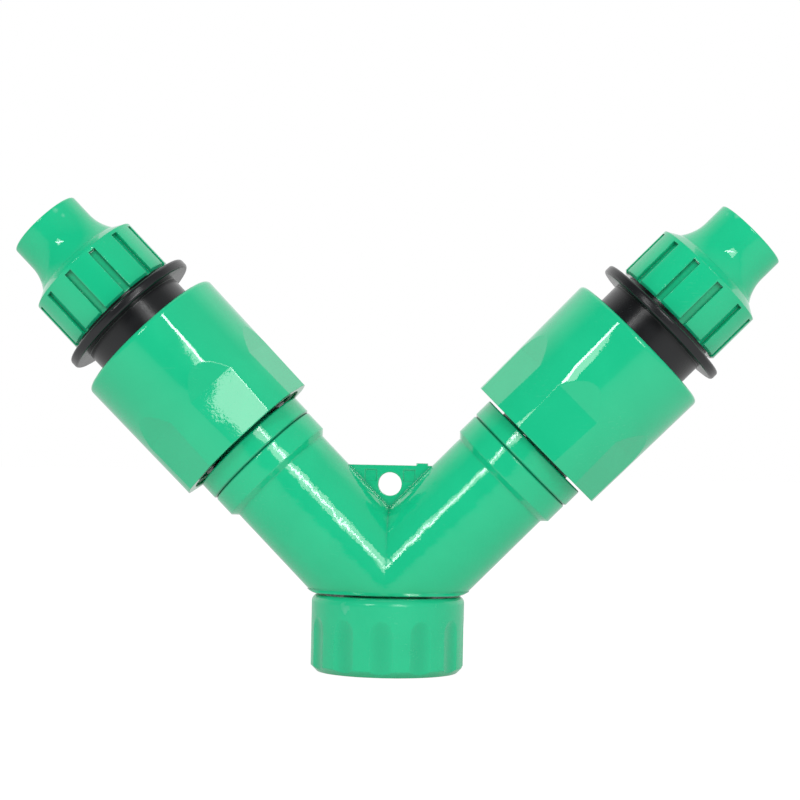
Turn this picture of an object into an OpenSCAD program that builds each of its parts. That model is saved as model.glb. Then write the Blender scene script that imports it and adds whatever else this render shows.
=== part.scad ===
/* [Body] */
// Angle of each arm's axis from the vertical
arm_angle = 44.5; // [40:0.1:50]
// Outer diameter of the two tubes
tube_od = 24.5; // [24:0.1:25.2]
// Wall of the tubes around their waterways
tube_wall = 2.85; // [2.5:0.05:4]
// Length of a tube from the crossing of the axes to its collar
tube_length = 33.4; // [32:0.1:37]
// Step of the collar at the end of a tube, over the tube
collar_step = 1.15; // [0.9:0.05:1.8]
// Length of the collar
collar_length = 5.9; // [4.5:0.1:8]
// Height of the crossing of the arm axes above the foot
hub_rise = 0.7; // [0.2:0.1:1.2]
// Height of the solid floor above the foot, which holds the tailpiece
foot_floor = 4.5; // [3.5:0.1:6]
// Overhang of the foot past the nut's side
foot_overhang = 0.05; // [0:0.05:1]

/* [Hanging web] */
// Thickness of the web between the arms
web_thickness = 2.5; // [1.8:0.1:4]
// Distance of the web's top edge from the collar, along a tube
web_setback = 8.3; // [5:0.1:9]
// Diameter of the hanging hole
hang_hole_d = 5; // [4:0.1:5.4]
// Distance of the hanging hole's middle from the web's top edge
hang_hole_drop = 4; // [3.4:0.1:4.4]
// Length of the gate nib left on the web's top edge
nib_length = 2.4; // [1:0.1:4]
// Height of the gate nib
nib_height = 0.5; // [0.2:0.1:1]
// Distance of the gate nib from the middle of the web
nib_offset = 5.6; // [0:0.1:6]
// Side of the square ejector marks beside the hole
mark_width = 2.5; // [1.5:0.1:2.6]
// Depth of the ejector marks
mark_depth = 0.12; // [0.05:0.01:0.3]
// Distance of an ejector mark's middle from the middle of the web
mark_offset = 4.1; // [4:0.1:4.4]
// Distance of an ejector mark's middle from the web's top edge
mark_drop = 2.2; // [1.8:0.1:2.4]

/* [Inlet nut] */
// Outer diameter of the swivel nut
nut_od = 32.5; // [31.5:0.1:36]
// Height of the swivel nut
nut_height = 16.3; // [16:0.1:20]
// Gap between the nut and the foot of the body
nut_gap = 0.4; // [0.3:0.1:1]
// Rounding of the nut's top edge
nut_round = 1.5; // [0.4:0.1:2]
// Chamfer at the nut's bottom edge
nut_chamfer = 1.3; // [0.6:0.1:1.6]
// Major diameter of the pipe thread in the nut
thread_d = 26.5; // [26:0.1:26.8]
// Depth of the threaded part of the nut
thread_depth = 9.2; // [8:0.1:10.2]
// Thickness of the lip that holds the nut on the tailpiece
lip_thickness = 2.6; // [2:0.1:3.2]
// Number of grip recesses around the nut
recess_count = 12; // [6:1:14]
// Width of a grip recess
recess_width = 4.8; // [3:0.1:5.4]
// Depth of a grip recess
recess_depth = 0.6; // [0.4:0.1:0.9]
// Distance of the recesses from the nut's top face
recess_drop = 5; // [3:0.1:9]
// Turn of the recesses about the nut's axis
recess_turn = -1; // [-15:0.1:15]

/* [Tailpiece and washer] */
// Outer diameter of the tailpiece
tail_od = 19; // [17:0.1:20]
// Bore of the tailpiece
tail_bore_d = 14.4; // [11:0.1:15]
// Thickness of the tailpiece's flange
tail_flange_t = 1.8; // [1.4:0.1:1.9]
// Thickness of the flat washer
washer_t = 2.2; // [1.5:0.1:2.3]

/* [Nipple] */
// Step of the nipple's flange over the collar
ring_step = 0.15; // [0:0.05:1]
// Thickness of the nipple's flange
ring_t = 4.3; // [3:0.1:6]
// Length of the spigot that is glued into the collar
spigot_length = 8; // [5:0.1:10]
// Step of the spigot's socket over the waterway
spigot_step = 1; // [0.6:0.1:1.4]
// Bore of the nipple
nipple_bore_d = 8.4; // [6:0.1:9]
// Diameter of the nipple's neck
neck_od = 15.2; // [14.8:0.1:15.8]
// Step of the bead, behind which the claws lock, over the neck
bead_step = 1.15; // [0.9:0.05:1.4]
// Height of the bead above the nipple's flange
bead_rise = 8.8; // [8:0.1:10]
// Length of the bead with its lead-in
bead_length = 3.2; // [2.6:0.1:4]
// Length of the nipple's tip beyond the bead
tip_length = 10.4; // [9:0.1:12]
// Step of the nipple's tip below the neck
tip_step = 0.35; // [0.1:0.05:0.6]
// Thickness of the O-ring's cord
o_ring_cord = 1.9; // [1.6:0.1:2]
// Distance of the O-ring from the bead
o_ring_rise = 5.2; // [4:0.1:6]

/* [Coupler body] */
// Distance between the nipple's flange and the coupler's sleeve
ring_gap = 0.5; // [0.4:0.1:2]
// Wall of the socket inside the sleeve
socket_wall = 2.35; // [2:0.05:2.6]
// Step of the water chamber below the bore that the O-ring seals in
chamber_step = 0.6; // [0.3:0.1:2]
// Outer diameter of the neck that shows above the sleeve
body_neck_od = 24.3; // [23.6:0.1:25]
// Outer diameter of the flange above the neck
flange_od = 32.2; // [30:0.1:36]
// Thickness of that flange
flange_t = 2.1; // [1.5:0.1:3]
// Outer diameter of the thread that carries the hose nut
hose_thread_d = 22.4; // [21:0.1:23]
// Length of that thread
hose_thread_length = 9.2; // [7.5:0.1:9.6]
// Bore of the hose barb
barb_bore_d = 5.8; // [4:0.1:6.4]
// Wall of the hose barb's stem
stem_wall = 1; // [0.8:0.05:1.3]
// Height of the barbs over the stem
barb_height = 0.5; // [0.3:0.05:0.8]
// Length of the hose barb beyond the thread
stem_length = 8.6; // [7:0.1:9]
// Number of barbs
barb_count = 5; // [3:1:7]
// Diameter of the seat for the hose's end, around the stem
hose_seat_d = 12.4; // [11.6:0.1:14]
// Depth of the hose seat below the thread's end
hose_seat_depth = 8; // [4:0.1:8.4]

/* [Claw ring] */
// Number of claws
claw_count = 4; // [3:1:5]
// Width of a claw
claw_width = 5; // [3.5:0.1:6]
// Thickness of a claw
claw_t = 1.4; // [1:0.1:1.7]
// Length of a claw's hook along the arm
hook_length = 2; // [1.5:0.1:2.4]
// Width of the band that joins the claws
claw_band = 3; // [2:0.1:4]
// Reach of the claw ring past the bead
claw_reach = 7; // [5:0.1:8]

/* [Sleeve] */
// Length of the sliding sleeve
sleeve_length = 30.8; // [30:0.1:34]
// Outer diameter of the sleeve at its lower end
sleeve_od = 33.8; // [33.4:0.1:36]
// Swell of the sleeve's side towards its upper end
sleeve_swell = 0.35; // [0.1:0.05:0.8]
// Rounding of the sleeve's upper edge
sleeve_round = 1; // [0.4:0.1:1.5]
// Wall of the sleeve at its lower end
sleeve_wall = 2; // [1.6:0.1:2.1]
// Length of the thick upper end that slides on the neck
sleeve_land = 4; // [3:0.1:6]
// Travel of the sleeve when it is pulled back
sleeve_travel = 4.8; // [3:0.1:5.5]
// Number of flats around the sleeve
flat_count = 6; // [4:1:8]
// Depth of the flats at the lower end
flat_depth = 0.8; // [0.5:0.05:1.1]
// Length of the flats' straight part
flat_length = 12.1; // [8:0.1:15]
// Length of the ramp above each flat
ramp_length = 4.2; // [2:0.1:7]
// Turn of the left sleeve's flats
left_sleeve_turn = 13.2; // [-30:0.1:30]
// Turn of the right sleeve's flats
right_sleeve_turn = 0; // [-30:0.1:30]

/* [Hose nut] */
// Gap between the coupler's flange and the hose nut
hose_nut_gap = 1; // [0.6:0.1:1.5]
// Length of the hose nut
hose_nut_length = 24.7; // [23.5:0.1:28]
// Wall of the grip around the thread
grip_wall = 1.9; // [1.6:0.05:3]
// Length of the grip up to its shoulder
grip_length = 12.1; // [10.6:0.1:12.4]
// Length of the sloping shoulder above the grip
shoulder_length = 1.7; // [1:0.1:3]
// Length of the flare above the shoulder
flare_length = 5.8; // [4:0.1:7]
// Radius of the flare
flare_radius = 9.6; // [9:0.1:12]
// Diameter of the hose entry
hose_entry_d = 11.8; // [11.4:0.1:12.4]
// Wall of the nose around the hose entry
nose_wall = 2.5; // [2:0.1:3.2]
// Length of the hose entry
hose_entry_length = 7.4; // [6:0.1:7.8]
// Number of grip grooves
groove_count = 12; // [8:1:16]
// Width of a grip groove
groove_width = 1.7; // [1.2:0.1:2.2]
// Depth of a grip groove
groove_depth = 0.9; // [0.5:0.1:0.95]
// Distance of the grooves' upper ends from the shoulder
groove_stop = 0.8; // [0.3:0.1:2]
// Turn of the left hose nut's grooves
left_nut_turn = -10.1; // [-15:0.1:15]
// Turn of the right hose nut's grooves
right_nut_turn = 12.7; // [-15:0.1:15]

/* [Fits] */
// Radial clearance of a running fit
run_gap = 0.1; // [0.05:0.01:0.1]
// Radial clearance of the O-ring in its bore
seal_gap = 0.05; // [0.02:0.01:0.1]
// Radial play of the nipple's tip in the bore that the O-ring seals
tip_play = 0.35; // [0.2:0.05:0.5]
// Clearance between parts that must not touch
free_gap = 0.3; // [0.25:0.05:0.4]
// Chamfer on each side of a glued seam
seam_chamfer = 0.35; // [0.1:0.05:0.5]

/* [Hidden] */
$fn = 96;
// Overlap of a cutting shape past the face that it cuts
over = 1;
left = -1;
right = 1;
// Turn that brings a feature to the front
front = -90;

foot_z = nut_height + nut_gap;
hub_z = foot_z + hub_rise;
floor_z = foot_z + foot_floor;
foot_flare = 1.6;
tube_r = tube_od / 2;
tube_bore_r = tube_r - tube_wall;
collar_r = tube_r + collar_step;
collar_end = tube_length + collar_length;
reach = collar_end + tube_od;
web_station = tube_length - web_setback;
web_rise = web_station * cos(arm_angle) + tube_r * sin(arm_angle);
web_half = (web_rise * sin(arm_angle) - tube_r + tube_wall / 2) / cos(arm_angle);

nut_r = nut_od / 2;
thread_r = thread_d / 2;
thread_relief = 0.2;
thread_mouth = 0.7;
lip_z = nut_height - lip_thickness;
tail_r = tail_od / 2;
tail_flange_r = thread_r - free_gap;
tail_flange_z = lip_z - free_gap - tail_flange_t;
recess_sagitta = nut_r - sqrt(nut_r * nut_r - recess_width * recess_width / 4);
recess_hollow = recess_depth - recess_sagitta;
recess_r = (recess_width * recess_width / 4 + recess_hollow * recess_hollow) / (2 * recess_hollow);

ring_r = collar_r + ring_step;
ring_end = collar_end + ring_t;
ring_round = 0.3;
spigot_start = collar_end - spigot_length;
spigot_r = tube_bore_r + spigot_step;
nipple_bore_r = nipple_bore_d / 2;
neck_r = neck_od / 2;
bead_r = neck_r + bead_step;
tip_r = neck_r - tip_step;
boss_step = 1.9;
boss_height = 0.6;
bead_start = ring_end + bead_rise;
bead_end = bead_start + bead_length;
tip_end = bead_end + tip_length;
tip_chamfer = 0.6;
seal_bore_r = tip_r + tip_play;
o_ring_r = seal_bore_r - seal_gap;
o_ring_play = 0.2;
groove_floor_r = o_ring_r - o_ring_cord - seal_gap;
o_ring_mid = bead_end + o_ring_rise;

sleeve_start = ring_end + ring_gap;
sleeve_end = sleeve_start + sleeve_length;
shoulder = sleeve_end - sleeve_land;
sleeve_r = sleeve_od / 2;
sleeve_top_r = sleeve_r + sleeve_swell;
sleeve_bore_r = sleeve_r - sleeve_wall;
flat_r = sleeve_r - flat_depth;
body_neck_r = body_neck_od / 2;
cam_drop = 0.8;
cam_length = 2.4;
cam_height = 0.6;
cam_r = sleeve_bore_r - cam_height;

body_inset = 0.4;
body_start = sleeve_start + body_inset;
socket_bore_r = bead_r + run_gap;
socket_r = socket_bore_r + socket_wall;
socket_mouth = 0.8;
seal_lead = 1.6;
seal_start = bead_end + seal_lead;
tip_room = 1;
seal_end = tip_end + tip_room;
chamber_r = seal_bore_r - chamber_step;
stop_length = 2.4;
stop_end = shoulder - free_gap;
travel_room = 0.4;
flange_start = sleeve_end + sleeve_travel + travel_room;
flange_end = flange_start + flange_t;
flange_round = 0.6;
flange_r = flange_od / 2;
thread_end = flange_end + hose_thread_length;
hose_thread_r = hose_thread_d / 2;
seat_start = thread_end - hose_seat_depth;
stem_end = thread_end + stem_length;
barb_bore_r = barb_bore_d / 2;
stem_r = barb_bore_r + stem_wall;
barb_pitch = (stem_end - seat_start) / barb_count;

heel_r = cam_r - free_gap;
hook_end = bead_start - free_gap;
hook_start = hook_end - hook_length;
hook_r = neck_r + free_gap + run_gap;
claw_top = bead_end + claw_reach;
window_play = 0.2;
claw_turn = 45;

hose_nut_start = flange_end + hose_nut_gap;
hose_nut_end = hose_nut_start + hose_nut_length;
entry_start = hose_nut_end - hose_entry_length;
entry_r = hose_entry_d / 2;
hose_bore_r = hose_thread_r + run_gap;
thread_runout = 0.8;
hose_bore_end = thread_end + thread_runout;
grip_r = hose_bore_r + grip_wall;
grip_chamfer = 0.5;
nose_r = entry_r + nose_wall;
nose_round = 0.4;
flare_start = grip_length + shoulder_length;
flare_end = flare_start + flare_length;
flare_r = nose_r + flare_radius - sqrt(flare_radius * flare_radius - flare_length * flare_length);

// Places a piece that is drawn along +Z onto an arm
module on_arm(side) {
    translate([0, 0, hub_z])
        rotate([0, side * arm_angle, 0])
            children();
}

// Half profile of a disc from one height to another
module slab(radius, low, high) {
    translate([0, low])
        square([radius, high - low]);
}

// What a rounding takes from a profile's outer upper corner
module corner(radius) {
    difference() {
        translate([-radius, -radius])
            square(radius + over);
        translate([-radius, -radius])
            circle(radius);
    }
}

// Tube with its chamfered collar
module arm_outside() {
    rotate_extrude()
        polygon([
            [0, -reach],
            [tube_r, -reach],
            [tube_r, tube_length],
            [collar_r, tube_length + collar_step],
            [collar_r, collar_end - seam_chamfer],
            [collar_r - seam_chamfer, collar_end],
            [0, collar_end]
        ]);
}

// Everything above a level
module above(level) {
    translate([-reach, -reach, level])
        cube(2 * reach);
}

// Space above the foot, with a cone that trims the tubes' corners over the nut
module foot_trim() {
    foot_r = nut_r + foot_overhang;
    translate([0, 0, foot_z])
        cylinder(h = 2 * reach, r1 = foot_r, r2 = foot_r + 2 * reach * foot_flare);
}

// Outer form of the body: two tubes that meet, and the web in their fork
module body_outside() {
    intersection() {
        union() {
            on_arm(left) arm_outside();
            on_arm(right) arm_outside();
        }
        foot_trim();
    }
    translate([0, web_thickness / 2, hub_z])
        rotate([90, 0, 0])
            linear_extrude(web_thickness)
                polygon([[0, hub_rise], [web_half, web_rise], [-web_half, web_rise]]);
    translate([nib_offset, -web_thickness / 2, hub_z + web_rise - nib_height])
        cube([nib_length, web_thickness, 2 * nib_height]);
}

// Waterways and sockets of the body
module body_inside() {
    intersection() {
        union() {
            on_arm(left) cylinder(h = collar_end + over, r = tube_bore_r);
            on_arm(right) cylinder(h = collar_end + over, r = tube_bore_r);
        }
        above(floor_z);
    }
    for (side = [left, right])
        on_arm(side)
            translate([0, 0, spigot_start])
                cylinder(h = spigot_length + over, r = spigot_r);
    translate([0, 0, foot_z - over])
        cylinder(h = foot_floor + 2 * over, r = tail_r);
}

// Hanging hole, and the square ejector marks on the web's front
module web_cuts() {
    translate([0, 0, hub_z + web_rise - hang_hole_drop])
        rotate([90, 0, 0])
            cylinder(h = web_thickness + 2 * over, d = hang_hole_d, center = true);
    for (side = [left, right])
        translate([
            side * mark_offset - mark_width / 2,
            mark_depth - web_thickness / 2 - over,
            hub_z + web_rise - mark_drop - mark_width / 2
        ])
            cube([mark_width, over, mark_width]);
}

module y_body() {
    color("mediumseagreen")
        difference() {
            body_outside();
            body_inside();
            web_cuts();
        }
}

module inlet_tailpiece() {
    color("seagreen")
        difference() {
            union() {
                translate([0, 0, tail_flange_z])
                    cylinder(h = floor_z - tail_flange_z, r = tail_r);
                translate([0, 0, tail_flange_z])
                    cylinder(h = tail_flange_t, r = tail_flange_r);
            }
            translate([0, 0, tail_flange_z - over])
                cylinder(h = floor_z - tail_flange_z + 2 * over, d = tail_bore_d);
        }
}

module inlet_washer() {
    color("dimgray")
        translate([0, 0, tail_flange_z - washer_t])
            difference() {
                cylinder(h = washer_t, r = tail_flange_r);
                translate([0, 0, -over])
                    cylinder(h = washer_t + 2 * over, d = tail_bore_d);
            }
}

// Wall of the swivel nut, with its thread bore, relief and lip
module inlet_nut_profile() {
    difference() {
        polygon([
            [0, 0],
            [nut_r - nut_chamfer, 0],
            [nut_r, nut_chamfer],
            [nut_r, nut_height],
            [0, nut_height]
        ]);
        translate([nut_r, nut_height])
            corner(nut_round);
        slab(thread_r, -over, thread_depth);
        slab(thread_r + thread_relief, thread_depth, lip_z);
        slab(tail_r + run_gap, lip_z - over, nut_height + over);
        polygon([
            [0, -over],
            [thread_r + thread_mouth + over, -over],
            [thread_r, thread_mouth],
            [0, thread_mouth]
        ]);
    }
}

// Scooped grip recess with an arched top
module grip_recess() {
    top = nut_height - recess_drop - recess_width / 2;
    intersection() {
        translate([0, recess_depth - nut_r - recess_r, 0])
            rotate_extrude()
                intersection() {
                    union() {
                        translate([0, top])
                            circle(recess_r);
                        slab(recess_r, -over, top);
                    }
                    slab(recess_r, -over, top + recess_r);
                }
        translate([-recess_width, -nut_r - over, -over])
            cube([2 * recess_width, recess_depth + 2 * over, nut_height]);
    }
}

module inlet_nut() {
    color("mediumseagreen")
        difference() {
            rotate_extrude()
                inlet_nut_profile();
            for (i = [0 : recess_count - 1])
                rotate(recess_turn + i * 360 / recess_count)
                    grip_recess();
        }
}

// Half profile of the nipple: spigot, flange, neck, bead and tip
module nipple_profile() {
    difference() {
        union() {
            slab(spigot_r, spigot_start, collar_end + over);
            difference() {
                polygon([
                    [0, collar_end],
                    [ring_r - seam_chamfer, collar_end],
                    [ring_r, collar_end + seam_chamfer],
                    [ring_r, ring_end],
                    [0, ring_end]
                ]);
                translate([ring_r, ring_end])
                    corner(ring_round);
            }
            slab(neck_r + boss_step, ring_end - over, ring_end + boss_height);
            slab(neck_r, ring_end, bead_start + over);
            polygon([
                [0, bead_start],
                [bead_r, bead_start],
                [bead_r, bead_end - bead_r + tip_r],
                [tip_r, bead_end],
                [tip_r, tip_end - tip_chamfer],
                [tip_r - tip_chamfer, tip_end],
                [0, tip_end]
            ]);
        }
        slab(nipple_bore_r, spigot_start - over, tip_end + over);
        translate([groove_floor_r, o_ring_mid - o_ring_cord / 2 - o_ring_play])
            square([tip_r, o_ring_cord + 2 * o_ring_play]);
    }
}

module nipple(side) {
    color("mediumseagreen")
        on_arm(side)
            rotate_extrude()
                nipple_profile();
}

module o_ring(side) {
    color("dimgray")
        on_arm(side)
            translate([0, 0, o_ring_mid])
                rotate_extrude()
                    translate([o_ring_r - o_ring_cord / 2, 0])
                        circle(d = o_ring_cord);
}

// Half profile of the coupler's outside
module coupler_outside() {
    slab(socket_r, body_start, stop_end);
    slab(sleeve_bore_r - run_gap, stop_end - stop_length, stop_end);
    slab(body_neck_r, stop_end - over, flange_start + over);
    difference() {
        slab(flange_r, flange_start, flange_end);
        translate([flange_r, flange_end])
            corner(flange_round);
        translate([flange_r, flange_start])
            mirror([0, 1])
                corner(flange_round);
    }
    slab(hose_thread_r, flange_end - over, thread_end);
}

// Half profile of the barbed stem that the hose is pushed over
module hose_barb() {
    slab(stem_r, seat_start - over, stem_end);
    for (i = [0 : barb_count - 1])
        translate([0, seat_start + i * barb_pitch])
            polygon([[0, 0], [stem_r + barb_height, 0], [stem_r, barb_pitch], [0, barb_pitch]]);
}

// Half profile of the coupler's bores: mouth, socket, seal bore, water chamber and barb
module coupler_inside() {
    slab(socket_bore_r, body_start - over, bead_end);
    polygon([
        [0, body_start - over],
        [socket_bore_r + socket_mouth + over, body_start - over],
        [socket_bore_r, body_start + socket_mouth],
        [0, body_start + socket_mouth]
    ]);
    polygon([
        [0, bead_end - over / 2],
        [socket_bore_r, bead_end - over / 2],
        [socket_bore_r, bead_end],
        [seal_bore_r, seal_start],
        [seal_bore_r, seal_end],
        [0, seal_end]
    ]);
    polygon([
        [0, seal_end - over],
        [chamber_r, seal_end - over],
        [chamber_r, flange_start],
        [barb_bore_r, flange_end],
        [barb_bore_r, stem_end + over],
        [0, stem_end + over]
    ]);
}

// Places one copy for each claw
module each_claw() {
    for (i = [0 : claw_count - 1])
        rotate(claw_turn + i * 360 / claw_count)
            children();
}

module coupler_body(side) {
    color("dimgray")
        on_arm(side)
            difference() {
                rotate_extrude()
                    difference() {
                        union() {
                            difference() {
                                coupler_outside();
                                slab(hose_seat_d / 2, seat_start, thread_end + over);
                            }
                            hose_barb();
                        }
                        coupler_inside();
                    }
                each_claw()
                    translate([hook_r, -claw_width / 2 - window_play, hook_start - window_play])
                        cube([socket_r, claw_width + 2 * window_play, hook_length + 2 * window_play]);
            }
}

// Half section through a claw: its finger and its hook
module claw_profile() {
    translate([socket_r, hook_start])
        square([claw_t, claw_top - hook_start]);
    translate([hook_r, hook_start])
        square([heel_r - hook_r, hook_length]);
}

// Ring with spring claws that hook behind the nipple's bead
module claw_ring(side) {
    color("whitesmoke")
        on_arm(side)
            intersection() {
                rotate_extrude()
                    claw_profile();
                union() {
                    translate([0, 0, claw_top - claw_band])
                        cylinder(h = claw_band + over, r = heel_r + over);
                    each_claw()
                        translate([0, -claw_width / 2, hook_start - over])
                            cube([heel_r + over, claw_width, claw_top - hook_start]);
                }
            }
}

// Wall of the sleeve, with its draft, cam ring and sliding land
module sleeve_profile() {
    difference() {
        polygon([
            [0, sleeve_start],
            [sleeve_r, sleeve_start],
            [sleeve_top_r, sleeve_end - sleeve_round],
            [sleeve_top_r, sleeve_end],
            [0, sleeve_end]
        ]);
        translate([sleeve_top_r, sleeve_end])
            corner(sleeve_round);
        slab(cam_r, sleeve_start - over, shoulder);
        slab(sleeve_bore_r, sleeve_start - over, sleeve_start + cam_drop);
        slab(sleeve_bore_r, sleeve_start + cam_drop + cam_length, shoulder);
        slab(body_neck_r + run_gap, shoulder - over, sleeve_end + over);
    }
}

// Flat at the sleeve's lower end, with the ramp above it
module sleeve_flat() {
    depth = sleeve_top_r - flat_r + over;
    slope = flat_depth / ramp_length;
    ramp_start = sleeve_start + flat_length;
    rotate([90, 0, 0])
        linear_extrude(sleeve_od, center = true)
            polygon([
                [flat_r, sleeve_start - over],
                [flat_r + depth, sleeve_start - over],
                [flat_r + depth, ramp_start + depth / slope],
                [flat_r, ramp_start]
            ]);
}

module sleeve(side, turn) {
    color("mediumseagreen")
        on_arm(side)
            difference() {
                rotate_extrude()
                    sleeve_profile();
                for (i = [0 : flat_count - 1])
                    rotate(front + turn + i * 360 / flat_count)
                        sleeve_flat();
            }
}

// Half profile of the hose nut's outside: grip, shoulder, flare and nose
module hose_nut_outside() {
    difference() {
        polygon([
            [0, 0],
            [grip_r - grip_chamfer, 0],
            [grip_r, grip_chamfer],
            [grip_r, grip_length],
            [flare_r, flare_start],
            [flare_r, flare_end],
            [nose_r, flare_end],
            [nose_r, hose_nut_length],
            [0, hose_nut_length]
        ]);
        intersection() {
            translate([nose_r + flare_radius, flare_end])
                circle(flare_radius);
            translate([nose_r, flare_start])
                square([2 * flare_radius, 2 * flare_length]);
        }
        translate([nose_r, hose_nut_length])
            corner(nose_round);
    }
}

// Half profile of the hose nut's thread bore, clamping cone and hose entry
module hose_nut_inside() {
    polygon([
        [0, hose_nut_start - over],
        [hose_bore_r, hose_nut_start - over],
        [hose_bore_r, hose_bore_end],
        [entry_r, entry_start],
        [entry_r, hose_nut_end - nose_round],
        [entry_r + nose_round + over, hose_nut_end + over],
        [0, hose_nut_end + over]
    ]);
}

module hose_nut(side, turn) {
    color("mediumseagreen")
        on_arm(side)
            difference() {
                rotate_extrude()
                    difference() {
                        translate([0, hose_nut_start])
                            hose_nut_outside();
                        hose_nut_inside();
                    }
                for (i = [0 : groove_count - 1])
                    rotate(front + turn + i * 360 / groove_count)
                        translate([grip_r - groove_depth, -groove_width / 2, hose_nut_start - over])
                            cube([groove_depth + over, groove_width, grip_length - groove_stop + over]);
            }
}

module left_nipple() {
    nipple(left);
}

module left_o_ring() {
    o_ring(left);
}

module left_coupler_body() {
    coupler_body(left);
}

module left_claw_ring() {
    claw_ring(left);
}

module left_sleeve() {
    sleeve(left, left_sleeve_turn);
}

module left_hose_nut() {
    hose_nut(left, left_nut_turn);
}

module right_nipple() {
    nipple(right);
}

module right_o_ring() {
    o_ring(right);
}

module right_coupler_body() {
    coupler_body(right);
}

module right_claw_ring() {
    claw_ring(right);
}

module right_sleeve() {
    sleeve(right, right_sleeve_turn);
}

module right_hose_nut() {
    hose_nut(right, right_nut_turn);
}

y_body();
inlet_tailpiece();
inlet_washer();
inlet_nut();
left_nipple();
left_o_ring();
left_coupler_body();
left_claw_ring();
left_sleeve();
left_hose_nut();
right_nipple();
right_o_ring();
right_coupler_body();
right_claw_ring();
right_sleeve();
right_hose_nut();
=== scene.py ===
# %% [markdown]
# This lesson dresses a glossy green tap splitter for drip irrigation. On the real object every piece is an
# injection moulding: green outside, black coupler bodies inside, and claws and rubber rings out of sight.
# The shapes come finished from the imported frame, so the lesson is mostly about light, camera and plastic.
# Each piece could be painted by hand, but shader nodes say it in a few values and hold at any size.

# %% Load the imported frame
import math

import bpy
from mathutils import Matrix, Vector


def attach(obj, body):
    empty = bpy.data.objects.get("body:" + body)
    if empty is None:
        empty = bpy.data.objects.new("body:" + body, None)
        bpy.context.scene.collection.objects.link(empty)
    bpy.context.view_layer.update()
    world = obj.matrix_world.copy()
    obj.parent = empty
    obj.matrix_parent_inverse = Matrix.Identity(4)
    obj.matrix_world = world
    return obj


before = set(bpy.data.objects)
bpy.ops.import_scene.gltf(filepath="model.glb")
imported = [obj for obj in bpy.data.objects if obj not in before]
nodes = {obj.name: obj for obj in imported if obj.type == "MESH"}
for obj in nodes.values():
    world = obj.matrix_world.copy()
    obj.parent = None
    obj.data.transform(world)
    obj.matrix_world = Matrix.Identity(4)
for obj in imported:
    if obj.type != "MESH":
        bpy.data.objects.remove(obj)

MM = 0.001
scene = bpy.context.scene
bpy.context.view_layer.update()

# %% [markdown]
# The camera stands half a metre in front, a little to the right, and level with the middle of the object.
# It could be aimed with a constraint, but three small turns and a place say the same and can be tuned one
# by one: yaw is the object's turn on its stand, pitch the camera's tilt, and roll its lean.

# %% Camera
IMAGE_PIXELS = 800
SENSOR_WIDTH = 36
FOCAL_PIXELS = 2347.7
CAMERA_YAW = math.radians(-3.23)
CAMERA_PITCH = math.radians(-0.64)
CAMERA_ROLL = math.radians(-1.08)
CAMERA_SHIFT = Vector((-2.84, 500.7, -57.77)) * MM


def add_camera():
    turn = Matrix.Rotation(-CAMERA_ROLL, 4, "Y") @ Matrix.Rotation(CAMERA_PITCH, 4, "X")
    turn = turn @ Matrix.Rotation(CAMERA_YAW, 4, "Z")
    back = turn.inverted()
    place = Matrix.Translation(-(back @ CAMERA_SHIFT))
    data = bpy.data.cameras.new("camera")
    data.sensor_width = SENSOR_WIDTH
    data.lens = FOCAL_PIXELS / IMAGE_PIXELS * SENSOR_WIDTH
    camera = bpy.data.objects.new("camera", data)
    camera.matrix_world = place @ back @ Matrix.Rotation(math.pi / 2, 4, "X")
    scene.collection.objects.link(camera)
    scene.camera = camera
    return camera


camera = add_camera()
print("camera at", [round(v, 3) for v in camera.location], "lens", round(camera.data.lens, 1))

# %% [markdown]
# A round arm mirrors a lamp where its side leans halfway between the lamp and the camera, so the bright
# streak on each arm gives away one lamp: in front, above and to the other side. Each streak has a white
# core and a paler edge, as from a bright tube behind a square softbox that hangs by one corner. The left
# sleeve's flat mirrors a corner of that square, and the streaks on the right arm are narrower, so the
# square on the left is smaller. One lamp a side with a soft edge could come close, but two area lights,
# one inside the other, give both edges.

# %% Lamps
LAMP_TARGET = Vector((0, 0, 0.045))
SOFTBOX_SIZE = (0.265, 0.265)
SMALL_SOFTBOX_SIZE = (0.18, 0.18)
TUBE_SIZE = (0.035, 0.30)
CORNER_DOWN = math.radians(45)
UPRIGHT = 0
POWER_PER_RADIANCE = 4


def add_lamp(name, place, size, radiance, lean):
    width, height = size
    data = bpy.data.lights.new(name, "AREA")
    data.shape = "RECTANGLE"
    data.size = width
    data.size_y = height
    data.energy = POWER_PER_RADIANCE * radiance * width * height
    lamp = bpy.data.objects.new(name, data)
    aim = (Vector(place) - LAMP_TARGET).to_track_quat("Z", "Y").to_matrix().to_4x4()
    lamp.matrix_world = Matrix.Translation(place) @ aim @ Matrix.Rotation(lean, 4, "Z")
    lamp.visible_camera = False
    scene.collection.objects.link(lamp)


add_lamp("right_softbox", (0.284, -0.701, 0.321), SOFTBOX_SIZE, radiance=3.3, lean=CORNER_DOWN)
add_lamp("right_tube", (0.245, -0.670, 0.410), TUBE_SIZE, radiance=11, lean=UPRIGHT)
add_lamp("left_softbox", (-0.338, -0.665, 0.350), SMALL_SOFTBOX_SIZE, radiance=3.2, lean=CORNER_DOWN)
add_lamp("left_tube", (-0.335, -0.650, 0.380), TUBE_SIZE, radiance=10, lean=UPRIGHT)

# %% [markdown]
# Materials, world and floor are all node trees. One helper adds a node with its settings and values, and
# the others say what the node is for: a sum, a spread of a value from one range to another, a mix, a noise.
# They could be written out each time, but a short line that reads like a sentence is easier to follow. The
# Mix node keeps its sockets by number: 2 and 3 take plain values, 6 and 7 take colours.

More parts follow.
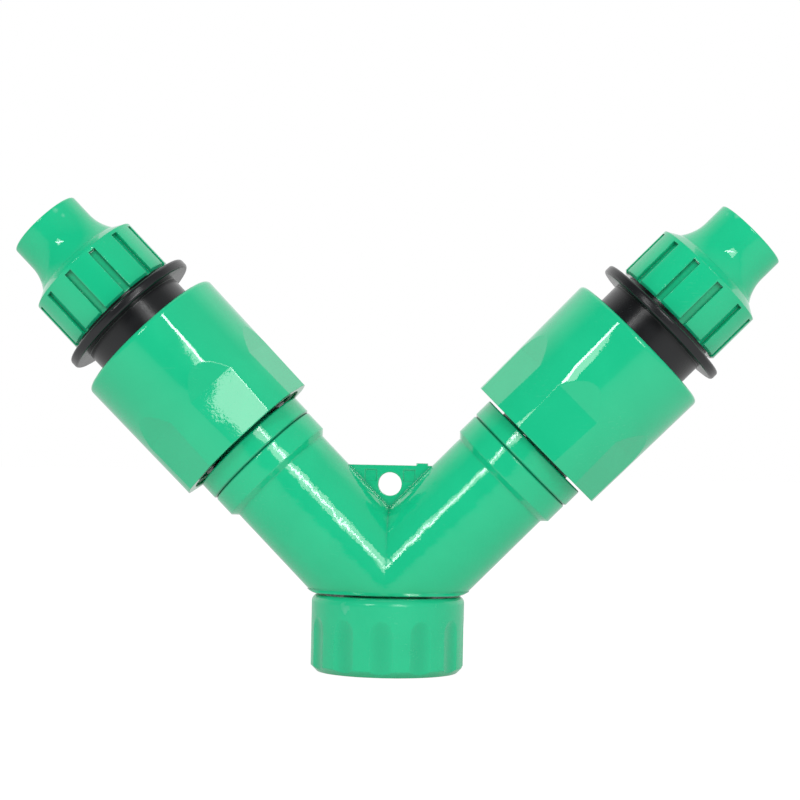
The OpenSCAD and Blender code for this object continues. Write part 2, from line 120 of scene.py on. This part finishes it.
# %% Node helpers
def add_node(tree, kind, inputs=None, **settings):
    node = tree.nodes.new(kind)
    for name, value in settings.items():
        setattr(node, name, value)
    for name, value in (inputs or {}).items():
        if isinstance(value, bpy.types.NodeSocket):
            tree.links.new(value, node.inputs[name])
        else:
            node.inputs[name].default_value = value
    return node


def calculate(tree, operation, *values):
    return add_node(tree, "ShaderNodeMath", dict(enumerate(values)), operation=operation).outputs[0]


def spread(tree, value, start, end, low=0.0, high=1.0):
    node = add_node(tree, "ShaderNodeMapRange", {
        "Value": value, "From Min": start, "From Max": end, "To Min": low, "To Max": high})
    return node.outputs["Result"]


def mix_values(tree, share, first, second):
    return add_node(tree, "ShaderNodeMix", {0: share, 2: first, 3: second}).outputs[0]


def mix_colours(tree, share, first, second):
    return add_node(tree, "ShaderNodeMix", {0: share, 6: first, 7: second}, data_type="RGBA").outputs[2]


def noise(tree, place, scale, detail, **inputs):
    inputs = {"Vector": place, "Scale": scale, "Detail": detail, **inputs}
    return add_node(tree, "ShaderNodeTexNoise", inputs).outputs["Fac"]


def object_place(tree):
    return add_node(tree, "ShaderNodeTexCoord").outputs["Object"]


helpers = (add_node, calculate, spread, mix_values, mix_colours, noise, object_place)
print("node helpers:", [helper.__name__ for helper in helpers])

# %% [markdown]
# The world is the studio itself. The camera sees plain white all round. Reflections see white behind the
# object and a dim room in front, brighter to the right, which keeps the plastic's colour deep where it
# faces the camera and gives it pale rims. White cards round the object could do that too, but they would
# stand in the lamps' way. Matt light comes from all sides at one level. The two ranges below are parts of
# the view direction, which runs from -1 to 1.

# %% World
ROOM_GREY = 0.12
ROOM_RIGHT = 0.50
RIGHT_RANGE = (0.0, 0.9)
COVE_WHITE = 1.0
COVE_RANGE = (-0.2, 0.5)
MATT_LEVEL = 0.76


def add_world():
    world = bpy.data.worlds.new("studio")
    world.use_nodes = True
    tree = world.node_tree
    tree.nodes.clear()
    place = add_node(tree, "ShaderNodeTexCoord")
    split = add_node(tree, "ShaderNodeSeparateXYZ", {"Vector": place.outputs["Generated"]})
    room = spread(tree, split.outputs["Y"], *COVE_RANGE, ROOM_GREY, COVE_WHITE)
    right = spread(tree, split.outputs["X"], *RIGHT_RANGE, ROOM_GREY, ROOM_RIGHT)
    walls = calculate(tree, "MAXIMUM", room, right)
    path = add_node(tree, "ShaderNodeLightPath").outputs
    level = mix_values(tree, path["Is Diffuse Ray"], walls, MATT_LEVEL)
    seen = calculate(tree, "MAXIMUM", level, path["Is Camera Ray"])
    white = add_node(tree, "ShaderNodeBackground", {"Color": (1, 1, 1, 1), "Strength": seen})
    add_node(tree, "ShaderNodeOutputWorld", {"Surface": white.outputs[0]})
    scene.world = world


add_world()
scene.view_settings.view_transform = "Standard"
print("world:", scene.world.name)

# %% [markdown]
# The floor is white paper. Its colour alone would show a grey horizon, so for the camera most of it glows
# a plain white, and the rest stays matt, which keeps the object's faint shadow. In the glossy plastic it
# shows as a paler band that fades towards the front, where the paper ends. It lies a hair below the nut,
# and from underneath it is clear, so that one can look into the inlet.

# %% Floor
FLOOR_SIDE = 4.0
FLOOR_DROP = 0.05 * MM
FLOOR_SHARE = 0.9
FLOOR_GLOW = 1.08
FLOOR_MIRROR = 0.72
FLOOR_BOUNCE = 0.25
FADE_RANGE = (-0.9, -0.1)
PAPER_WHITE = (0.9, 0.9, 0.9, 1)


def white_paper():
    material = bpy.data.materials.new("white_paper")
    material.use_nodes = True
    tree = material.node_tree
    tree.nodes.clear()
    path = add_node(tree, "ShaderNodeLightPath").outputs
    split = add_node(tree, "ShaderNodeSeparateXYZ", {"Vector": object_place(tree)})
    fade = spread(tree, split.outputs["Y"], *FADE_RANGE, ROOM_GREY, FLOOR_MIRROR)
    level = mix_values(tree, path["Is Camera Ray"], fade, FLOOR_GLOW)
    mirror = calculate(tree, "MAXIMUM", path["Is Glossy Ray"], path["Is Camera Ray"])
    share = spread(tree, mirror, 0, 1, FLOOR_BOUNCE, FLOOR_SHARE)
    paper = add_node(tree, "ShaderNodeBsdfDiffuse", {"Color": PAPER_WHITE})
    glow = add_node(tree, "ShaderNodeEmission", {"Strength": level})
    top = add_node(tree, "ShaderNodeMixShader", {"Fac": share, 1: paper.outputs[0], 2: glow.outputs[0]})
    side = add_node(tree, "ShaderNodeNewGeometry")
    clear = add_node(tree, "ShaderNodeBsdfTransparent")
    sheet = add_node(tree, "ShaderNodeMixShader", {
        "Fac": side.outputs["Backfacing"], 1: top.outputs[0], 2: clear.outputs[0]})
    add_node(tree, "ShaderNodeOutputMaterial", {"Surface": sheet.outputs[0]})
    return material


def add_floor():
    half = FLOOR_SIDE / 2
    corners = [(x, y, -FLOOR_DROP) for x, y in ((-half, -half), (half, -half), (half, half), (-half, half))]
    mesh = bpy.data.meshes.new("floor")
    mesh.from_pydata(corners, [], [(0, 1, 2, 3)])
    mesh.materials.append(white_paper())
    floor = bpy.data.objects.new("floor", mesh)
    scene.collection.objects.link(floor)
    return floor


floor = add_floor()
print("floor:", floor.name, FLOOR_SIDE, "m")

# %% [markdown]
# What several plastics share is built as node groups. A group is made once, with named sockets, and is then
# dropped into any material with its own values, like a part from a shelf. The same nodes could be copied
# into each material, but then every later change would have to be made seven times.

# %% Start of a node group
FLOAT = "NodeSocketFloat"
VECTOR = "NodeSocketVector"
COLOUR = "NodeSocketColor"


def start_group(name, inputs, outputs):
    group = bpy.data.node_groups.new(name, "ShaderNodeTree")
    for title, (kind, value) in inputs.items():
        socket = group.interface.new_socket(title, in_out="INPUT", socket_type=kind)
        socket.default_value = value
    for title, kind in outputs.items():
        group.interface.new_socket(title, in_out="OUTPUT", socket_type=kind)
    given = group.nodes.new("NodeGroupInput").outputs
    result = group.nodes.new("NodeGroupOutput").inputs
    return group, given, result


def report_group(group):
    print("group:", group.name, [socket.name for socket in group.interface.items_tree])


print("kinds of socket:", FLOAT, VECTOR, COLOUR)

# %% [markdown]
# Moulded plastic is never quite flat: it shrinks as it cools, which leaves slow waves, and copies the
# polish of its steel mould, which leaves a fine skin. The waves matter most, because they make the long
# streaks wander and break. Modelling them would need millions of faces, so noise gives a height for a
# bump. The same noise, read slower, tells where the skin is a little duller.

# %% Uneven skin of a moulding
DULL_SLOWNESS = 0.45
DULL_ROUGHNESS = 0.65
DULL_RANGE = (0.35, 0.7)


def build_moulded_skin():
    group, given, result = start_group(
        "moulded_skin",
        {"Wave Scale": (FLOAT, 300.0), "Skin Scale": (FLOAT, 1500.0), "Skin Share": (FLOAT, 0.12)},
        {"Height": FLOAT, "Dullness": FLOAT})
    place = object_place(group)
    wave = noise(group, place, given["Wave Scale"], 1.0)
    skin = noise(group, place, given["Skin Scale"], 2.0)
    height = mix_values(group, given["Skin Share"], wave, skin)
    slow = calculate(group, "MULTIPLY", given["Wave Scale"], DULL_SLOWNESS)
    dull = noise(group, place, slow, 4.0, Roughness=DULL_ROUGHNESS)
    group.links.new(height, result["Height"])
    group.links.new(spread(group, dull, *DULL_RANGE), result["Dullness"])
    return group


moulded_skin = build_moulded_skin()
report_group(moulded_skin)

# %% [markdown]
# The edges of a moulding are never sharp: the mould's corners are worn and the plastic pulls away from
# them. The frame's solids have true corners, and rounding each by geometry would add faces everywhere. The
# Bevel node bends the normal near an edge instead, and its difference from the true normal shows where
# the edges are, so that they can be a touch paler and duller from handling.

# %% Softened and worn edges
BEVEL_SAMPLES = 6
EDGE_RANGE = (0.99, 0.86)
RUB_SCALE = 500.0
RUB_RANGE = (0.42, 0.62)


def build_worn_edge():
    group, given, result = start_group(
        "worn_edge",
        {"Radius": (FLOAT, 0.2 * MM), "Wear": (FLOAT, 0.5)},
        {"Normal": VECTOR, "Edge": FLOAT})
    bevel = add_node(group, "ShaderNodeBevel", {"Radius": given["Radius"]}, samples=BEVEL_SAMPLES)
    true = add_node(group, "ShaderNodeNewGeometry")
    agree = add_node(group, "ShaderNodeVectorMath", {
        0: bevel.outputs["Normal"], 1: true.outputs["Normal"]}, operation="DOT_PRODUCT")
    near = spread(group, agree.outputs["Value"], *EDGE_RANGE)
    patches = spread(group, noise(group, object_place(group), RUB_SCALE, 3.0), *RUB_RANGE)
    rubbed = calculate(group, "MULTIPLY", near, patches)
    group.links.new(bevel.outputs["Normal"], result["Normal"])
    group.links.new(calculate(group, "MULTIPLY", rubbed, given["Wear"]), result["Edge"])
    return group


worn_edge = build_worn_edge()
report_group(worn_edge)

# %% [markdown]
# A fitting that has been in a box with others carries fine scuffs. Each is a thin, pale, dull line, and
# they come in small patches. Drawn scratches would need a picture, so noise stretched far along one
# direction gives the lines, two such layers cross each other, and a slow noise keeps them to patches.

# %% Scuffs
SCUFF_LAYERS = [
    {"Rotation": (0.3, 0.9, 0.2), "Scale": (3000, 220, 3000)},
    {"Rotation": (1.2, -0.5, 0.7), "Scale": (260, 2600, 2600)}]
SCUFF_RANGE = (0.70, 0.78)
PATCH_SCALE = 70.0
PATCH_START = 0.85
PATCH_END = 0.8


def build_scuffs():
    group, given, result = start_group("scuffs", {"Spread": (FLOAT, 0.35)}, {"Mask": FLOAT})
    place = object_place(group)
    layers = []
    for layer in SCUFF_LAYERS:
        stretched = add_node(group, "ShaderNodeMapping", {"Vector": place, **layer}).outputs["Vector"]
        layers.append(spread(group, noise(group, stretched, 1.0, 0.0), *SCUFF_RANGE))
    lines = calculate(group, "MAXIMUM", *layers)
    start = calculate(group, "SUBTRACT", PATCH_START, given["Spread"])
    patches = spread(group, noise(group, place, PATCH_SCALE, 2.0), start, PATCH_END)
    group.links.new(calculate(group, "MULTIPLY", lines, patches), result["Mask"])
    return group


scuffs = build_scuffs()
report_group(scuffs)

# %% [markdown]
# Colour in a moulding drifts a little, because the pigment swirls as the melt flows. The drift is slow,
# over one or two centimetres, and so weak that one sees it only as life in the colour. One flat colour
# would do from afar, but up close it looks painted, so a twisted noise mixes a deep and a pale tone.

# %% Drift of the colour
DRIFT_SCALE = 60.0
DRIFT_TWIST = 0.8
DRIFT_RANGE = (0.3, 0.7)


def build_pigment_drift():
    group, given, result = start_group(
        "pigment_drift",
        {"Scale": (FLOAT, DRIFT_SCALE), "Pale": (COLOUR, (1, 1, 1, 1)), "Deep": (COLOUR, (0, 0, 0, 1))},
        {"Color": COLOUR})
    swirl = noise(group, object_place(group), given["Scale"], 3.0, Distortion=DRIFT_TWIST)
    share = spread(group, swirl, *DRIFT_RANGE)
    group.links.new(mix_colours(group, share, given["Deep"], given["Pale"]), result["Color"])
    return group


pigment_drift = build_pigment_drift()
report_group(pigment_drift)

# %% [markdown]
# The inlet nut has one whitish smear near its upper left edge, where glue or dried water was wiped. Each
# nose carries two small pale spots that are painted highlights, where the lamps glint on its rim. They
# could be painted on, but each is only a soft blob round one place, broken up by noise, so a group with a
# place and a size makes them all.

# %% Smears and painted glints
SPOT_SCALE = 900.0
SPOT_TEAR = 1.6
SPOT_RANGE = (1.6, 0.9)


def build_smear_and_glint():
    group, given, result = start_group(
        "smear_and_glint", {"Place": (VECTOR, (0, 0, 0)), "Size": (FLOAT, 2 * MM)}, {"Mask": FLOAT})
    place = object_place(group)
    away = add_node(group, "ShaderNodeVectorMath", {0: place, 1: given["Place"]}, operation="DISTANCE")
    far = calculate(group, "DIVIDE", away.outputs["Value"], given["Size"])
    torn = calculate(group, "MULTIPLY_ADD", noise(group, place, SPOT_SCALE, 3.0), SPOT_TEAR, far)
    group.links.new(spread(group, torn, *SPOT_RANGE), result["Mask"])
    return group


smear_and_glint = build_smear_and_glint()
report_group(smear_and_glint)

# %% [markdown]
# Each nipple is glued into its arm's collar, and the seam between them is a narrow gap whose shade shows
# as a dark line right round the arm. That shade is painted into the colour as a dark green stripe. Both
# arms lean by the same angle, so folding X onto one side puts the two seams on one plane. A stripe where
# the distance along the arm is right draws both, where a thin ring of its own would be one more piece.

# %% Painted shade of the glue seam
def build_seam_shade_line():
    group, given, result = start_group(
        "seam_shade_line",
        {"Arm Angle": (FLOAT, 0.0), "Hub Height": (FLOAT, 0.0), "Station": (FLOAT, 0.0),
         "Width": (FLOAT, 0.5 * MM)},
        {"Mask": FLOAT})
    split = add_node(group, "ShaderNodeSeparateXYZ", {"Vector": object_place(group)}).outputs
    side = calculate(group, "ABSOLUTE", split["X"])
    rise = calculate(group, "SUBTRACT", split["Z"], given["Hub Height"])
    sine = calculate(group, "SINE", given["Arm Angle"])
    cosine = calculate(group, "COSINE", given["Arm Angle"])
    along = calculate(group, "MULTIPLY_ADD", rise, cosine, calculate(group, "MULTIPLY", side, sine))
    away = calculate(group, "ABSOLUTE", calculate(group, "SUBTRACT", along, given["Station"]))
    group.links.new(spread(group, away, given["Width"], 0.0), result["Mask"])
    return group


seam_shade_line = build_seam_shade_line()
report_group(seam_shade_line)

# %% [markdown]
# Shade gathers in the grooves of the hose nuts, the nut's recesses and the corners of the web, and here it
# is painted shade: the colour is darkened there. One could paint it by hand, but the Ambient Occlusion node
# measures how closed in a point is, so it finds them all and still holds when a piece moves.

# %% Painted shade in the crevices
SKY_SAMPLES = 6
SKY_OPEN = 0.93


def build_crevice_shade():
    group, given, result = start_group(
        "crevice_shade", {"Reach": (FLOAT, 1.5 * MM), "Deepest": (FLOAT, 0.6)}, {"Mask": FLOAT})
    # Painted shade: how closed in a point is becomes a mask that darkens the colour.
    sky = add_node(group, "ShaderNodeAmbientOcclusion", {
        "Distance": given["Reach"]}, samples=SKY_SAMPLES, only_local=True)
    group.links.new(spread(group, sky.outputs["AO"], SKY_OPEN, given["Deepest"]), result["Mask"])
    return group


crevice_shade = build_crevice_shade()
report_group(crevice_shade)

# %% [markdown]
# The scooped recesses round the inlet nut lie in shade that the even light here leaves too weak, so they
# get painted shade: their colour is darkened. A second material on their faces would leave hard borders.
# They are the only places nearer to the nut's axis than its outer wall, so the distance from the axis tells
# them apart, and that still holds when the nut turns.

# %% Painted shade in the hollows round an axis
def build_hollow_shade():
    group, given, result = start_group(
        "hollow_shade", {"Rim": (FLOAT, 16.2 * MM), "Depth": (FLOAT, 0.6 * MM)}, {"Mask": FLOAT})
    flat = add_node(group, "ShaderNodeVectorMath", {
        0: object_place(group), 1: (1, 1, 0)}, operation="MULTIPLY")
    away = add_node(group, "ShaderNodeVectorMath", {0: flat.outputs["Vector"]}, operation="LENGTH")
    inner = calculate(group, "SUBTRACT", given["Rim"], given["Depth"])
    # Painted shade: this mask darkens the colour of the recesses.
    group.links.new(spread(group, away.outputs["Value"], given["Rim"], inner), result["Mask"])
    return group


hollow_shade = build_hollow_shade()
report_group(hollow_shade)

# %% [markdown]
# The recipe needs two kinds of mask. Wear is where the plastic is pale and dull: at edges, in scuffs and
# in smears, and the same mask carries the painted highlights on the noses. Shade is painted shade, where
# the colour is darkened: in crevices and in the nut's hollows. Masks could be added up, but where two
# overlap the sum would be too strong, so the larger one counts, each after its own share.

# %% Wear, painted glints and painted shade
SCUFF_SHARE = 0.15
# The smears' share also sets the strength of the painted highlights on the noses.
SMEAR_AND_GLINT_SHARE = 0.45
# The hollows' share sets how strongly painted shade darkens the nut's recesses.
HOLLOW_SHADE_SHARE = 0.16


def place_group(tree, group, inputs=None):
    node = add_node(tree, "ShaderNodeGroup", node_tree=group)
    for name, value in (inputs or {}).items():
        node.inputs[name].default_value = value
    return node.outputs


def larger(tree, mask, other, share):
    return calculate(tree, "MAXIMUM", mask, calculate(tree, "MULTIPLY", other, share))


def wear_and_glint_mask(tree, edge, smears_and_glints):
    worn_and_glint = larger(tree, edge["Edge"], place_group(tree, scuffs)["Mask"], SCUFF_SHARE)
    # The smears list holds the nut's real stain and the painted highlights on the noses; both mix in as
    # pale spots.
    for place, size in smears_and_glints:
        stain_and_glint = place_group(tree, smear_and_glint, {"Place": place, "Size": size})
        worn_and_glint = larger(tree, worn_and_glint, stain_and_glint["Mask"], SMEAR_AND_GLINT_SHARE)
    return worn_and_glint


def shade_mask(tree, nook, nook_share, rim):
    shade = calculate(tree, "MULTIPLY", place_group(tree, crevice_shade, nook)["Mask"], nook_share)
    if rim:
        shade = larger(tree, shade, place_group(tree, hollow_shade, {"Rim": rim})["Mask"], HOLLOW_SHADE_SHARE)
    return shade


print("shares:", {"scuffs": SCUFF_SHARE, "smears_and_glints": SMEAR_AND_GLINT_SHARE, "hollows": HOLLOW_SHADE_SHARE})

# %% [markdown]
# Every plastic piece uses the same recipe: a colour that drifts, paler where it is worn and at the painted
# highlights, darker under painted shade and along the glue seam's painted shade, a gloss that varies with
# the skin, and a bump on top of the softened edges. Seven materials could be built one by one, but one
# function keeps them alike, and each plastic is a call with its own values. The Principled shader stays
# in the material.

# %% Plastic recipe
# The seam's share and colour paint the shade in the glue seam's gap as a dark green stripe.
SEAM_SHADE_SHARE = 0.85
SEAM_SHADE_COLOUR = (0.002, 0.10, 0.05, 1)
SHADE_DEPTH = 0.2
WORN_AND_GLINT_DULLNESS = 0.5
NOOK = {"Reach": 1.5 * MM, "Deepest": 0.6}


def opaque(colour, level=1):
    return (*[value * level for value in colour], 1)


def make_plastic(name, deep, pale, rubbed, gloss, waves, edge_radius=0.2 * MM, nook=NOOK, nook_share=0.4,
                 mirror=0.5, smears_and_glints=(), seam=None, rim=None):
    material = bpy.data.materials.new(name)
    material.use_nodes = True
    tree = material.node_tree
    shader = tree.nodes["Principled BSDF"]
    edge = place_group(tree, worn_edge, {"Radius": edge_radius})
    worn_and_glint = wear_and_glint_mask(tree, edge, smears_and_glints)
    drift = place_group(tree, pigment_drift, {"Deep": opaque(deep), "Pale": opaque(pale)})
    # The pale rubbed colour stands for worn plastic and also paints the highlights on the noses.
    colour = mix_colours(tree, worn_and_glint, drift["Color"], opaque(rubbed))
    # Painted shade of the glue seam's gap: a dark green stripe round each arm.
    if seam:
        line = calculate(tree, "MULTIPLY", place_group(tree, seam_shade_line, seam)["Mask"], SEAM_SHADE_SHARE)
        colour = mix_colours(tree, line, colour, SEAM_SHADE_COLOUR)
    # Painted shade: crevices and the nut's hollows darken the colour towards the deep green.
    colour = mix_colours(tree, shade_mask(tree, nook, nook_share, rim), colour, opaque(deep, SHADE_DEPTH))
    wave_scale, wave_height = waves
    skin = place_group(tree, moulded_skin, {"Wave Scale": wave_scale})
    skin_gloss = spread(tree, skin["Dullness"], 0, 1, *gloss)
    roughness = calculate(tree, "MULTIPLY_ADD", worn_and_glint, WORN_AND_GLINT_DULLNESS, skin_gloss)
    bump = add_node(tree, "ShaderNodeBump", {
        "Strength": 1.0, "Distance": wave_height, "Height": skin["Height"], "Normal": edge["Normal"]})
    tree.links.new(colour, shader.inputs["Base Color"])
    tree.links.new(roughness, shader.inputs["Roughness"])
    tree.links.new(bump.outputs["Normal"], shader.inputs["Normal"])
    shader.inputs["Specular IOR Level"].default_value = mirror
    return material


print("the shade keeps", SHADE_DEPTH, "of the deep colour, a seam covers", SEAM_SHADE_SHARE)

# %% [markdown]
# The green is a bright sea green, nearly without red. The four green mouldings come from different tools,
# so they differ in how wavy they are: the tubes most, the sleeves least. The black is a satin one that
# soaks up light but still mirrors the lamps softly, and the seals are matt rubber. One green for all would
# be simpler, but the streaks would then break in the same way on every piece. The colours, the places of
# the nut's smear and the noses' painted highlights, and the place along the arm of the glue seam's painted
# shade come first.

# %% Colours and places
GREEN = {"deep": (0.006, 0.540, 0.252), "pale": (0.011, 0.580, 0.274), "rubbed": (0.16, 0.68, 0.42)}
NUT_GREEN = {"deep": (0.010, 0.540, 0.255), "pale": (0.016, 0.580, 0.280), "rubbed": (0.14, 0.60, 0.38)}
BLACK = {"deep": (0.004, 0.005, 0.007), "pale": (0.008, 0.009, 0.011), "rubbed": (0.10, 0.09, 0.09)}
CLAW_BLACK = {"deep": (0.008, 0.008, 0.009), "pale": (0.012, 0.012, 0.013), "rubbed": (0.05, 0.05, 0.05)}
RUBBER_BLACK = {"deep": (0.012, 0.012, 0.012), "pale": (0.020, 0.020, 0.020), "rubbed": (0.06, 0.06, 0.06)}
GLOSSY = (0.04, 0.07)
NUT_RIM = 16.2 * MM
NUT_STAIN = [((-0.0081, -0.0141, 0.0141), 1.6 * MM)]
# Painted highlights: pale spots where the lamps glint on the nose rims.
NOSE_PAINTED_GLINTS = [
    ((-0.0720, -0.0072, 0.0967), 0.9 * MM), ((-0.0703, -0.0069, 0.0957), 0.7 * MM),
    ((0.0720, -0.0069, 0.0975), 0.9 * MM), ((0.0700, -0.0052, 0.0980), 0.8 * MM)]
# Where the glue seam's painted shade runs along each arm.
SEAM = {"Arm Angle": math.radians(44.5), "Hub Height": 17.4 * MM, "Station": 39.3 * MM, "Width": 0.45 * MM}
print("smears:", len(NUT_STAIN) + len(NOSE_PAINTED_GLINTS))

# %% [markdown]
# Each finish is one call. Gloss is a range of roughness, from polished to dull, and waves are a scale and
# a height: many small ones on the grips, few long ones on the sleeves. A table of settings would be
# shorter, but here each number keeps its name. Mirror is how strongly the surface reflects, and a nook
# says how deep in a crevice the shade begins.

# %% The finishes
finishes = {
    "body": make_plastic(
        "body_plastic", **GREEN, gloss=GLOSSY, waves=(240, 0.15 * MM), edge_radius=0.45 * MM,
        nook={"Reach": 1.0 * MM, "Deepest": 0.5}, mirror=0.65, seam=SEAM),
    "sleeve": make_plastic(
        "sleeve_plastic", **GREEN, gloss=(0.015, 0.035), waves=(160, 0.020 * MM), edge_radius=0.35 * MM,
        mirror=0.75),
    "grip": make_plastic(
        "grip_plastic", **GREEN, gloss=GLOSSY, waves=(450, 0.06 * MM), edge_radius=0.3 * MM,
        nook={"Reach": 1.2 * MM, "Deepest": 0.55}, nook_share=0.55, mirror=0.65, smears_and_glints=NOSE_PAINTED_GLINTS),
    # The inlet nut's hollows get painted shade through its rim.
    "inlet": make_plastic(
        "inlet_plastic", **NUT_GREEN, gloss=(0.18, 0.28), waves=(300, 0.10 * MM), edge_radius=0.4 * MM,
        smears_and_glints=NUT_STAIN, rim=NUT_RIM),
    "black": make_plastic(
        "black_plastic", **BLACK, gloss=(0.22, 0.29), waves=(100, 0.04 * MM), edge_radius=0.35 * MM,
        mirror=0.6),
    "acetal": make_plastic("claw_acetal", **CLAW_BLACK, gloss=(0.45, 0.55), waves=(300, 0.03 * MM)),
    "rubber": make_plastic("seal_rubber", **RUBBER_BLACK, gloss=(0.55, 0.70), waves=(900, 0.03 * MM)),
}
print("materials:", [material.name for material in finishes.values()])

# %% [markdown]
# Each piece gets its finish by the end of its name, since left and right pieces differ only in how their
# names start. A list of all sixteen would do as well, but it would be longer and easier to get wrong. The
# pieces that no ending fits are the body and the green pieces fixed to it.

# %% Dress the pieces
FINISH_OF_ENDING = {
    "inlet_nut": "inlet", "coupler_body": "black", "claw_ring": "acetal", "o_ring": "rubber",
    "washer": "rubber", "sleeve": "sleeve", "hose_nut": "grip"}


def finish_of(piece):
    for ending, finish in FINISH_OF_ENDING.items():
        if piece.endswith(ending):
            return finish
    return "body"


for name, piece in nodes.items():
    piece.data.materials.clear()
    piece.data.materials.append(finishes[finish_of(name)])
print("finishes:", {name: finish_of(name) for name in nodes})

# %% [markdown]
# The tap screws into the inlet nut's pipe thread. The solid has a plain bore at the thread's outer
# diameter, so the ridge is added here: a blunt profile swept along a helix, with its foot sunk a hair into
# the wall and its two ends tapered away, as a moulded thread has. A screw modifier could sweep it, but it
# can't taper the ends, so a loop places each ring of points.

# %% One ring of the thread's profile
THREADS_PER_INCH = 14
THREAD_PITCH = 25.4 / THREADS_PER_INCH * MM
THREAD_BORE_R = 13.25 * MM
THREAD_DEPTH = 1.16 * MM
THREAD_START = 1.6 * MM
THREAD_TURNS = 3.6
THREAD_FOOT = 0.86
THREAD_CREST = 0.30
THREAD_SINK = 0.04 * MM
THREAD_CORNERS = 4
TAPER_TURNS = 0.35
STEPS_PER_TURN = 72


def thread_ring(step, last):
    turn = step / STEPS_PER_TURN
    taper = min(1, turn / TAPER_TURNS, (last - step) / STEPS_PER_TURN / TAPER_TURNS)
    foot = THREAD_BORE_R + THREAD_SINK
    crest = THREAD_BORE_R - THREAD_DEPTH * taper
    middle = THREAD_START + turn * THREAD_PITCH
    half_foot = THREAD_PITCH * THREAD_FOOT / 2
    half_crest = THREAD_PITCH * THREAD_CREST / 2
    profile = [(foot, -half_foot), (crest, -half_crest), (crest, half_crest), (foot, half_foot)]
    angle = turn * 2 * math.pi
    return [(r * math.cos(angle), r * math.sin(angle), middle + rise) for r, rise in profile]


print("pitch in mm:", round(THREAD_PITCH / MM, 3))

# %% [markdown]
# The rings are joined by a strip of four-sided faces on each side of the profile, and a face closes each
# end. The thread rides on the inlet nut, because it is part of that moulding and turns with it.

# %% Pipe thread in the inlet nut
def add_inlet_thread():
    last = round(THREAD_TURNS * STEPS_PER_TURN)
    points = [point for step in range(last + 1) for point in thread_ring(step, last)]
    faces = []
    for here in range(0, last * THREAD_CORNERS, THREAD_CORNERS):
        ahead = here + THREAD_CORNERS
        for side in range(THREAD_CORNERS):
            beside = (side + 1) % THREAD_CORNERS
            faces.append((here + side, here + beside, ahead + beside, ahead + side))
    faces.append(tuple(reversed(range(THREAD_CORNERS))))
    faces.append(tuple(last * THREAD_CORNERS + side for side in range(THREAD_CORNERS)))
    mesh = bpy.data.meshes.new("inlet_thread")
    mesh.from_pydata(points, [], faces)
    mesh.materials.append(finishes["inlet"])
    thread = bpy.data.objects.new("inlet_thread", mesh)
    scene.collection.objects.link(thread)
    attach(thread, "inlet_nut")
    return thread


thread = add_inlet_thread()
print("thread faces:", len(thread.data.polygons))
